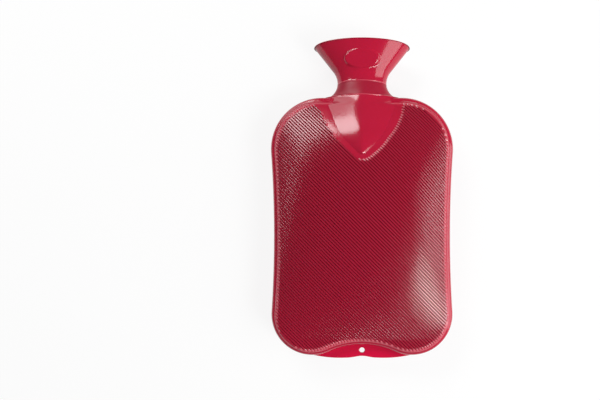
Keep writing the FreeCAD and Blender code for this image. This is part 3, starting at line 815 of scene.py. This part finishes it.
def calculated(tree, operation, first, second):
    """Socket of the result of two values."""
    return add_node(tree, "ShaderNodeMath", {0: first, 1: second}, operation=operation).outputs[0]


def grow_piece(piece, tree, keys, values):
    """Runs a tree on a piece with its inputs set, and keeps the result as its own plain mesh."""
    maker = piece.modifiers.new(tree.name, "NODES")
    maker.node_group = tree
    for label, value in values.items():
        maker[keys[label]] = value
    evaluated = piece.evaluated_get(bpy.context.evaluated_depsgraph_get())
    plain = bpy.data.meshes.new_from_object(evaluated)
    piece.modifiers.clear()
    piece.data = plain


WELL_ABOVE = 0.2
END_DIVE = 1.15
# Strength and reach of the painted highlight at the rib ends, and the part of the profile that gets
# painted shade in the groove.
END_HIGHLIGHT = 0.85
END_HIGHLIGHT_ZONE = (0.0028, 0.0048)
GROOVE_SHADE_ZONE = (0.15, 0.9)
rib_tree, rib_keys, given = new_tree("ribs_on_crown", {
    "Crown": ("NodeSocketObject", None),
    "Rib profile": ("NodeSocketObject", None),
    "Rib height": ("NodeSocketFloat", RIB_HEIGHT / 1000),
    "End slope": ("NodeSocketFloat", END_SLOPE / 1000),
    "Plastic": ("NodeSocketMaterial", None),
})
to_curve = add_node(rib_tree, "GeometryNodeMeshToCurve", {"Mesh": given["Geometry"]})
place = add_node(rib_tree, "GeometryNodeInputPosition").outputs[0]
lift = add_node(rib_tree, "ShaderNodeVectorMath", {0: place, 1: (0, 0, WELL_ABOVE)}, operation="ADD")
crown_shape = add_node(rib_tree, "GeometryNodeObjectInfo", {"Object": given["Crown"]})
cast = add_node(rib_tree, "GeometryNodeRaycast", {
    "Target Geometry": crown_shape.outputs["Geometry"],
    "Source Position": lift.outputs[0],
    "Ray Direction": (0, 0, -1),
    "Ray Length": 1.0,
}).outputs
keep_normal = add_node(rib_tree, "GeometryNodeCaptureAttribute")
keep_normal.capture_items.new("VECTOR", "Crown normal")
set_inputs(rib_tree, keep_normal, {
    "Geometry": to_curve.outputs["Curve"], "Crown normal": cast["Hit Normal"],
})

along_rib = add_node(rib_tree, "GeometryNodeSplineParameter").outputs["Length"]
whole_rib = add_node(rib_tree, "GeometryNodeSplineLength").outputs["Length"]
to_far_end = calculated(rib_tree, "SUBTRACT", whole_rib, along_rib)
to_end = calculated(rib_tree, "MINIMUM", to_far_end, along_rib)
dive = add_node(rib_tree, "ShaderNodeMapRange", {
    "Value": to_end, "From Min": 0.0, "From Max": given["End slope"],
    "To Min": -END_DIVE, "To Max": 0.0,
})
sink = calculated(rib_tree, "MULTIPLY", dive.outputs["Result"], given["Rib height"])
offset = add_node(rib_tree, "ShaderNodeVectorMath", {
    0: cast["Hit Normal"], "Scale": sink,
}, operation="SCALE")
on_crown = add_node(rib_tree, "GeometryNodeSetPosition", {
    "Geometry": keep_normal.outputs["Geometry"],
    "Position": cast["Hit Position"],
    "Offset": offset.outputs[0],
})
# Painted highlight over the last few millimetres at each rib's end.
near_end_highlight = add_node(rib_tree, "ShaderNodeMapRange", {
    "Value": to_end, "From Min": END_HIGHLIGHT_ZONE[0], "From Max": END_HIGHLIGHT_ZONE[1],
    "To Min": END_HIGHLIGHT, "To Max": 0.0,
})
keep_end_highlight = add_node(rib_tree, "GeometryNodeStoreNamedAttribute", {
    "Geometry": on_crown.outputs["Geometry"], "Name": "rib_end", "Value": near_end_highlight.outputs["Result"],
}, data_type="FLOAT", domain="POINT")
set_normal = add_node(rib_tree, "GeometryNodeSetCurveNormal", {
    "Curve": keep_end_highlight.outputs["Geometry"], "Normal": keep_normal.outputs["Crown normal"],
}, mode="FREE")

profile_shape = add_node(rib_tree, "GeometryNodeObjectInfo", {"Object": given["Rib profile"]})
profile_curve = add_node(rib_tree, "GeometryNodeMeshToCurve", {
    "Mesh": profile_shape.outputs["Geometry"],
})
# Painted shade on the low part of each rib's profile, down in the groove.
level = add_node(rib_tree, "ShaderNodeSeparateXYZ", {0: place}).outputs["X"]
in_groove_shade = add_node(rib_tree, "ShaderNodeMapRange", {
    "Value": calculated(rib_tree, "DIVIDE", level, given["Rib height"]),
    "From Min": GROOVE_SHADE_ZONE[0], "From Max": GROOVE_SHADE_ZONE[1], "To Min": 1.0, "To Max": 0.0,
}, interpolation_type="SMOOTHSTEP")
keep_groove_shade = add_node(rib_tree, "GeometryNodeStoreNamedAttribute", {
    "Geometry": profile_curve.outputs["Curve"],
    "Name": "groove",
    "Value": in_groove_shade.outputs["Result"],
}, data_type="FLOAT", domain="POINT")
rib_sweep = add_node(rib_tree, "GeometryNodeCurveToMesh", {
    "Curve": set_normal.outputs["Curve"],
    "Profile Curve": keep_groove_shade.outputs["Geometry"],
    "Fill Caps": True,
})
end_tree(rib_tree, rib_sweep.outputs["Mesh"], given["Plastic"])
grow_piece(ribs, rib_tree, rib_keys, {"Crown": crown, "Rib profile": profile, "Plastic": pvc})
store_share(ribs, "rib", np.ones(len(ribs.data.vertices)))
bpy.data.objects.remove(crown)
bpy.data.objects.remove(profile)
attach(ribs, "bottle")

# The neck's fittings are off-white hard plastic, turned on the neck's axis: a threaded insert in
# the neck, and a stopper with a screwed shank, a fluted flange and a wing grip.
off_white, plastic_tree, plastic_shader = new_finish("off_white_plastic")
mottle = clouds(plastic_tree, 160.0, 4.0)
set_inputs(plastic_tree, plastic_shader, {
    "Base Color": mixed_colour(plastic_tree, mottle, (0.70, 0.69, 0.65, 1), (0.78, 0.77, 0.73, 1)),
    "Roughness": ranged(plastic_tree, mottle, 0.28, 0.44),
    "IOR": 1.5,
    "Subsurface Weight": 0.08,
    "Subsurface Radius": (1.0, 0.9, 0.7),
    "Subsurface Scale": 0.0015,
    "Normal": bumped(plastic_tree, mottle, 0.15, 0.0001),
})
ROUND_STEPS = 4
CORNER_LIMIT = 2.2
TURNED_STEPS = 96


def eased_corners(corners, radius):
    """Closed profile with each corner replaced by a small curve."""
    points = []
    count = len(corners)
    for i in range(count):
        before, corner, after = (np.array(corners[(i + j) % count], float) for j in (-1, 0, 1))
        back, ahead = before - corner, after - corner
        back_length, ahead_length = np.linalg.norm(back), np.linalg.norm(ahead)
        cut = min(radius, back_length / CORNER_LIMIT, ahead_length / CORNER_LIMIT)
        start = corner + back / back_length * cut
        end = corner + ahead / ahead_length * cut
        for step in np.linspace(0, 1, ROUND_STEPS + 1):
            points.append((1 - step) ** 2 * start + 2 * step * (1 - step) * corner + step ** 2 * end)
    return np.array(points)


def turned(profile, segments=TURNED_STEPS, flutes=0, flute_depth=0.0, flute_from=math.inf):
    """Ring-shaped solid turned on the neck's axis from a closed profile of (radius, height)."""
    rows = []
    for turn in np.radians(np.arange(segments) * 360 / segments):
        wave = 0.5 - 0.5 * math.cos(flutes * turn)
        radius = profile[:, 0] - flute_depth * wave * (profile[:, 0] > flute_from)
        rows.append(np.column_stack([
            radius * math.cos(turn), profile[:, 1] - WHOLE_LENGTH / 2,
            PARTING_LEVEL + radius * math.sin(turn),
        ]) / 1000)
    count = len(profile)
    faces = []
    for index in range(segments):
        faces += strip_faces(index * count, (index + 1) % segments * count, count)
    return np.vstack(rows), faces


# The screw thread, a right-handed round ridge laid on the neck's axis and run out at both ends.
THREAD_PITCH = 4.5
THREAD_STEPS = 72
RIDGE_STEPS = 8
RUN_OUT = 0.06
RUN_OUT_HEIGHT = 0.05
thread_tree, thread_keys, given = new_tree("screw_thread", {
    "Start height": ("NodeSocketFloat", 0.0),
    "Pitch": ("NodeSocketFloat", THREAD_PITCH / 1000),
    "Turns": ("NodeSocketFloat", 3.0),
    "Root radius": ("NodeSocketFloat", 0.01),
    "Thread height": ("NodeSocketFloat", 0.0012),
    "Plastic": ("NodeSocketMaterial", None),
})
spiral = add_node(thread_tree, "GeometryNodeCurveSpiral", {
    "Resolution": THREAD_STEPS,
    "Rotations": given["Turns"],
    "Start Radius": given["Root radius"],
    "End Radius": given["Root radius"],
    "Height": calculated(thread_tree, "MULTIPLY", given["Pitch"], given["Turns"]),
    "Reverse": True,
})
upright = add_node(thread_tree, "GeometryNodeSetCurveNormal", {
    "Curve": spiral.outputs["Curve"],
}, mode="Z_UP")
along_thread = add_node(thread_tree, "GeometryNodeSplineParameter").outputs["Factor"]
to_thread_end = calculated(
    thread_tree, "MINIMUM", along_thread, calculated(thread_tree, "SUBTRACT", 1.0, along_thread),
)
fade = add_node(thread_tree, "ShaderNodeMapRange", {
    "Value": to_thread_end, "From Max": RUN_OUT, "To Min": RUN_OUT_HEIGHT,
})
ridge = add_node(thread_tree, "GeometryNodeCurvePrimitiveCircle", {
    "Resolution": RIDGE_STEPS, "Radius": 1.0,
}, mode="RADIUS")
thread_sweep = add_node(thread_tree, "GeometryNodeCurveToMesh", {
    "Curve": upright.outputs["Curve"],
    "Profile Curve": ridge.outputs["Curve"],
    "Scale": calculated(thread_tree, "MULTIPLY", fade.outputs["Result"], given["Thread height"]),
    "Fill Caps": True,
})
thread_place = add_node(thread_tree, "ShaderNodeCombineXYZ", {
    "Y": given["Start height"], "Z": PARTING_LEVEL / 1000,
})
laid = add_node(thread_tree, "GeometryNodeTransform", {
    "Geometry": thread_sweep.outputs["Mesh"],
    "Rotation": (math.radians(-90), 0.0, 0.0),
    "Translation": thread_place.outputs[0],
})
joined = add_node(thread_tree, "GeometryNodeJoinGeometry", {"Geometry": laid.outputs["Geometry"]})
set_inputs(thread_tree, joined, {"Geometry": given["Geometry"]})
end_tree(thread_tree, joined.outputs["Geometry"], given["Plastic"])


def add_thread(piece, low, high, root_radius, thread_height):
    """Screws a thread of the given size on a turned piece, between two heights."""
    grow_piece(piece, thread_tree, thread_keys, {
        "Start height": (low - WHOLE_LENGTH / 2) / 1000,
        "Turns": (high - low) / THREAD_PITCH,
        "Root radius": root_radius / 1000,
        "Thread height": thread_height / 1000,
        "Plastic": off_white,
    })
    piece.data.materials.clear()
    piece.data.materials.append(off_white)
    piece.data.polygons.foreach_set("material_index", np.zeros(len(piece.data.polygons), np.int32))


# The neck insert, a socket of hard plastic held in the neck by its collar, with a coarse thread.
BORE_CREST = 11.3
BORE_ROOT = 12.6
BORE_THREAD_MARGIN = 1.6
COLLAR_RADIUS = 16.2
COLLAR_LENGTH = 4.0
INSERT_ROUND = 0.35
collar_low = (BELT_LOW + BELT_HIGH - COLLAR_LENGTH) / 2
collar_high = collar_low + COLLAR_LENGTH
insert_profile = eased_corners([
    (BORE_ROOT, BELT_LOW), (INSERT_RADIUS, BELT_LOW), (INSERT_RADIUS, collar_low),
    (COLLAR_RADIUS, collar_low), (COLLAR_RADIUS, collar_high),
    (INSERT_RADIUS, collar_high), (INSERT_RADIUS, BELT_HIGH), (BORE_ROOT, BELT_HIGH),
], INSERT_ROUND)
neck_insert = mesh_object("threaded_neck_insert", *turned(insert_profile), off_white)
add_thread(
    neck_insert, BELT_LOW + BORE_THREAD_MARGIN, BELT_HIGH - BORE_THREAD_MARGIN,
    BORE_ROOT, BORE_ROOT - BORE_CREST,
)
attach(neck_insert, "bottle")
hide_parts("neck_insert")

# The sealing washer, a flat ring of soft rubber that lies on the insert's seat round the stopper's
# shank, and goes up and down with the stopper.
WASHER_HOLE = 11.2
WASHER_RADIUS = 14.0
WASHER_LOW = BELT_HIGH + 0.1
WASHER_HIGH = WASHER_LOW + 2.5
WASHER_ROUND = 0.6
rubber, rubber_tree, rubber_shader = new_finish("washer_rubber")
dust = clouds(rubber_tree, 420.0, 5.0)
set_inputs(rubber_tree, rubber_shader, {
    "Base Color": mixed_colour(rubber_tree, dust, (0.50, 0.49, 0.46, 1), (0.62, 0.61, 0.58, 1)),
    "Roughness": ranged(rubber_tree, dust, 0.55, 0.8),
})
washer_profile = eased_corners([
    (WASHER_HOLE, WASHER_LOW), (WASHER_RADIUS, WASHER_LOW),
    (WASHER_RADIUS, WASHER_HIGH), (WASHER_HOLE, WASHER_HIGH),
], WASHER_ROUND)
washer = mesh_object("soft_sealing_washer", *turned(washer_profile), rubber)
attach(washer, "washer")
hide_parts("sealing_washer")

# The stopper, one moulding of hard plastic: a screwed shank with a dished end, a round flange with
# fine flutes, and a flat wing grip, wider at its top, to turn it by.
SHANK_CREST = 10.9
SHANK_ROOT = 9.7
SHANK_TIP = BELT_HIGH - 16.0
SHANK_ROUND = 0.4
SHANK_THREAD = (SHANK_TIP + 2.2, BELT_HIGH - 2.6)
AXIS_GAP = 0.02
CAP_RADIUS = 14.5
CAP_LOW = WASHER_HIGH + 0.1
CAP_HIGH = CAP_LOW + 3.0
DISH_RADIUS = 7.0
DISH_DEPTH = 1.5
FLUTES = 48
FLUTE_STEPS = 6
FLUTE_DEPTH = 0.28
FLUTED_FROM = SHANK_CREST + 3.0
stopper_profile = eased_corners([
    (AXIS_GAP, SHANK_TIP + DISH_DEPTH), (DISH_RADIUS, SHANK_TIP + DISH_DEPTH),
    (DISH_RADIUS + 0.8, SHANK_TIP), (SHANK_ROOT - 0.6, SHANK_TIP),
    (SHANK_ROOT, SHANK_TIP + 1.2), (SHANK_ROOT, BELT_HIGH - 1.5),
    (SHANK_CREST, BELT_HIGH - 0.5), (SHANK_CREST, CAP_LOW), (CAP_RADIUS, CAP_LOW),
    (CAP_RADIUS, CAP_HIGH), (AXIS_GAP, CAP_HIGH),
], SHANK_ROUND)
stopper_parts = [turned(stopper_profile, FLUTES * FLUTE_STEPS, FLUTES, FLUTE_DEPTH, FLUTED_FROM)]
GRIP_FOOT = 25.0
GRIP_TOP = 35.0
GRIP_HEIGHT = 22.0
GRIP_THICKNESS = 6.0
GRIP_EDGE = 1.2
GRIP_ROUND = 5.0
GRIP_CORNER_POINTS = 12
GRIP_EDGE_POINTS = 6
grip_low, grip_high = CAP_HIGH - GRIP_EDGE, CAP_HIGH + GRIP_HEIGHT


def grip_ring(inset):
    """The grip's outline moved inwards, its two top corners rounded."""
    lean = (GRIP_TOP - GRIP_FOOT) / 2 / (grip_high - grip_low)
    slant = math.hypot(1, lean)
    corner = np.array([GRIP_TOP / 2 - GRIP_ROUND * (slant + lean), grip_high - GRIP_ROUND])
    turns = np.linspace(-math.atan(lean), math.pi / 2, GRIP_CORNER_POINTS)
    curve = corner + (GRIP_ROUND - inset) * np.column_stack([np.cos(turns), np.sin(turns)])
    foot = np.array([[GRIP_FOOT / 2 - inset * slant + inset * lean, grip_low + inset]])
    half = np.vstack([foot, curve])
    return np.vstack([half, half[::-1] * (-1, 1)])


grip_rows = []
for side, start, end in ((-1, -90, 0), (1, 0, 90)):
    for turn in np.radians(np.linspace(start, end, GRIP_EDGE_POINTS)):
        inset = GRIP_EDGE * (1 - math.cos(turn))
        depth = side * (GRIP_THICKNESS / 2 - GRIP_EDGE) + GRIP_EDGE * math.sin(turn)
        grip_rows.append(in_frame(grip_ring(inset), depth))
ring_count = len(grip_rows[0])
last_ring = (len(grip_rows) - 1) * ring_count
grip_faces = [tuple(range(ring_count))[::-1], tuple(range(last_ring, last_ring + ring_count))]
grip_faces += band_faces(len(grip_rows), ring_count)
stopper_parts.append((np.vstack(grip_rows), grip_faces))
stopper = mesh_object("screw_stopper", *merged(stopper_parts), off_white)
add_thread(stopper, *SHANK_THREAD, SHANK_ROOT, SHANK_CREST - SHANK_ROOT)
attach(stopper, "stopper")
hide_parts("stopper")

# The floor of white paper, the soft lights and the camera of a plain product picture. The paper
# glows white only for the camera and for gloss, and the backdrop only for the camera.
FLOOR_HALF = 3
LAMP_AIM_LEVEL = 0.03
PAPER_GLOW = 0.86
WORLD_LEVEL = 0.145
CAMERA_HEIGHT = 480.0
CAMERA_AIM = 134.0
floor_mesh = bpy.data.meshes.new("floor")
floor_corners = [(x * FLOOR_HALF, y * FLOOR_HALF, 0) for x, y in ((-1, -1), (1, -1), (1, 1), (-1, 1))]
floor_mesh.from_pydata(floor_corners, [], [(0, 1, 2, 3)])
floor = bpy.data.objects.new("floor", floor_mesh)
bpy.context.scene.collection.objects.link(floor)
paper, paper_tree, paper_shader = new_finish("white_paper")
set_inputs(paper_tree, paper_shader, {
    "Base Color": (0.9, 0.9, 0.9, 1), "Roughness": 0.9, "Specular IOR Level": 0.0,
})
glow = add_node(paper_tree, "ShaderNodeEmission", {"Strength": 1.0})
ray = add_node(paper_tree, "ShaderNodeLightPath").outputs
seen = calculated(paper_tree, "MAXIMUM", ray["Is Camera Ray"], ray["Is Glossy Ray"])
paper_mix = add_node(paper_tree, "ShaderNodeMixShader", {
    "Fac": calculated(paper_tree, "MULTIPLY", seen, PAPER_GLOW),
    1: paper_shader.outputs["BSDF"],
    2: glow.outputs["Emission"],
})
paper_output = paper_tree.nodes["Material Output"]
set_inputs(paper_tree, paper_output, {"Surface": paper_mix.outputs["Shader"]})
floor_mesh.materials.append(paper)

world = bpy.data.worlds.new("studio")
bpy.context.scene.world = world
world.use_nodes = True
backdrop_ray = add_node(world.node_tree, "ShaderNodeLightPath").outputs["Is Camera Ray"]
set_inputs(world.node_tree, world.node_tree.nodes["Background"], {
    "Color": (1, 1, 1, 1), "Strength": ranged(world.node_tree, backdrop_ray, WORLD_LEVEL, 1.0),
})


def softbox(name, azimuth, low, high, width, level, distance):
    """A lamp panel seen from the bottle between two elevations, with its own brightness."""
    turn, low, high = math.radians(azimuth), math.radians(low), math.radians(high)
    middle = (low + high) / 2
    lamp = bpy.data.lights.new(name, "AREA")
    lamp.shape = "RECTANGLE"
    lamp.size = 2 * distance * math.tan(math.radians(width) / 2)
    lamp.size_y = 2 * distance * math.tan((high - low) / 2)
    lamp.energy = level * math.pi * lamp.size * lamp.size_y
    panel = bpy.data.objects.new(name, lamp)
    way = np.array([
        math.cos(turn) * math.cos(middle), math.sin(turn) * math.cos(middle), math.sin(middle),
    ])
    panel.location = way * distance + (0, 0, LAMP_AIM_LEVEL)
    panel.rotation_mode = "QUATERNION"
    panel.rotation_quaternion = Vector(-way).to_track_quat("-Z", "Y")
    panel.visible_camera = False
    bpy.context.scene.collection.objects.link(panel)


softbox("upper_left_box", azimuth=124, low=33, high=47, width=32, level=9.5, distance=1.5)
softbox("upper_left_wall", azimuth=121, low=2, high=32, width=34, level=2.1, distance=1.6)
softbox("right_wall", azimuth=-8, low=10, high=50, width=46, level=3.3, distance=1.6)
softbox("lower_right_box", azimuth=-36, low=34, high=54, width=18, level=15.0, distance=1.5)

camera_data = bpy.data.cameras.new("camera")
camera_data.lens = 25.81
camera_data.sensor_width = 36.0
camera_data.shift_x = -0.1033
camera_data.shift_y = 0.0625
camera = bpy.data.objects.new("camera", camera_data)
camera.location = (0.0, (CAMERA_AIM - WHOLE_LENGTH / 2) / 1000, (PARTING_LEVEL + CAMERA_HEIGHT) / 1000)
bpy.context.scene.collection.objects.link(camera)
bpy.context.scene.camera = camera
bpy.context.scene.view_settings.view_transform = "Standard"
